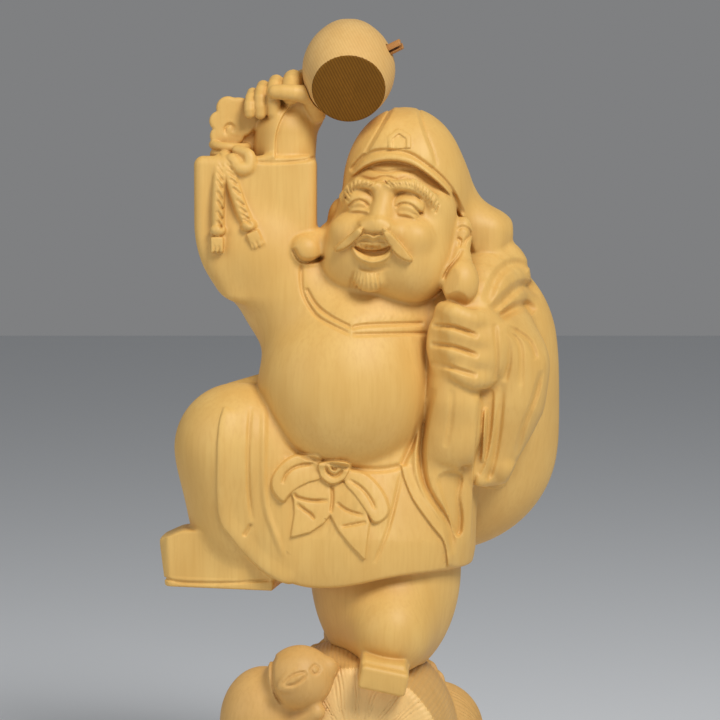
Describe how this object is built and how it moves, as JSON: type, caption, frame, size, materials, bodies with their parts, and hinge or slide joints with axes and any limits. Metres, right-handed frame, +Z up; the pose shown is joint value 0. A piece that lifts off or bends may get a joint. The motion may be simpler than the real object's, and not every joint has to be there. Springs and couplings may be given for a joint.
{
  "type": "daikoku figure",
  "caption": "Carved wooden lucky god with raised mallet and sack, dancing on one foot on rice bales with a climbing mouse, on a low base.",
  "frame": {"origin": "on the underside of the base, in the middle of the whole object's outline seen from above", "axes": "+Z up; the front of the figure faces -Y; +X is to the right of a viewer who faces it, the side of the sack"},
  "size_m": [0.141, 0.1032, 0.2931],
  "materials": {
    "figure_wood": "carved, smoothed and bare, with a soft sheen",
    "mallet_wood": "turned, with bare end grain",
    "handle_wood": "smooth",
    "bale_wood": "carved, with a soft sheen and cut straw lines"
  },
  "bodies": {
    "root": {"figure": "figure_wood", "mallet_head": "mallet_wood", "mallet_handle": "handle_wood", "rice_bale_base": "bale_wood"}
  },
  "joints": []
}
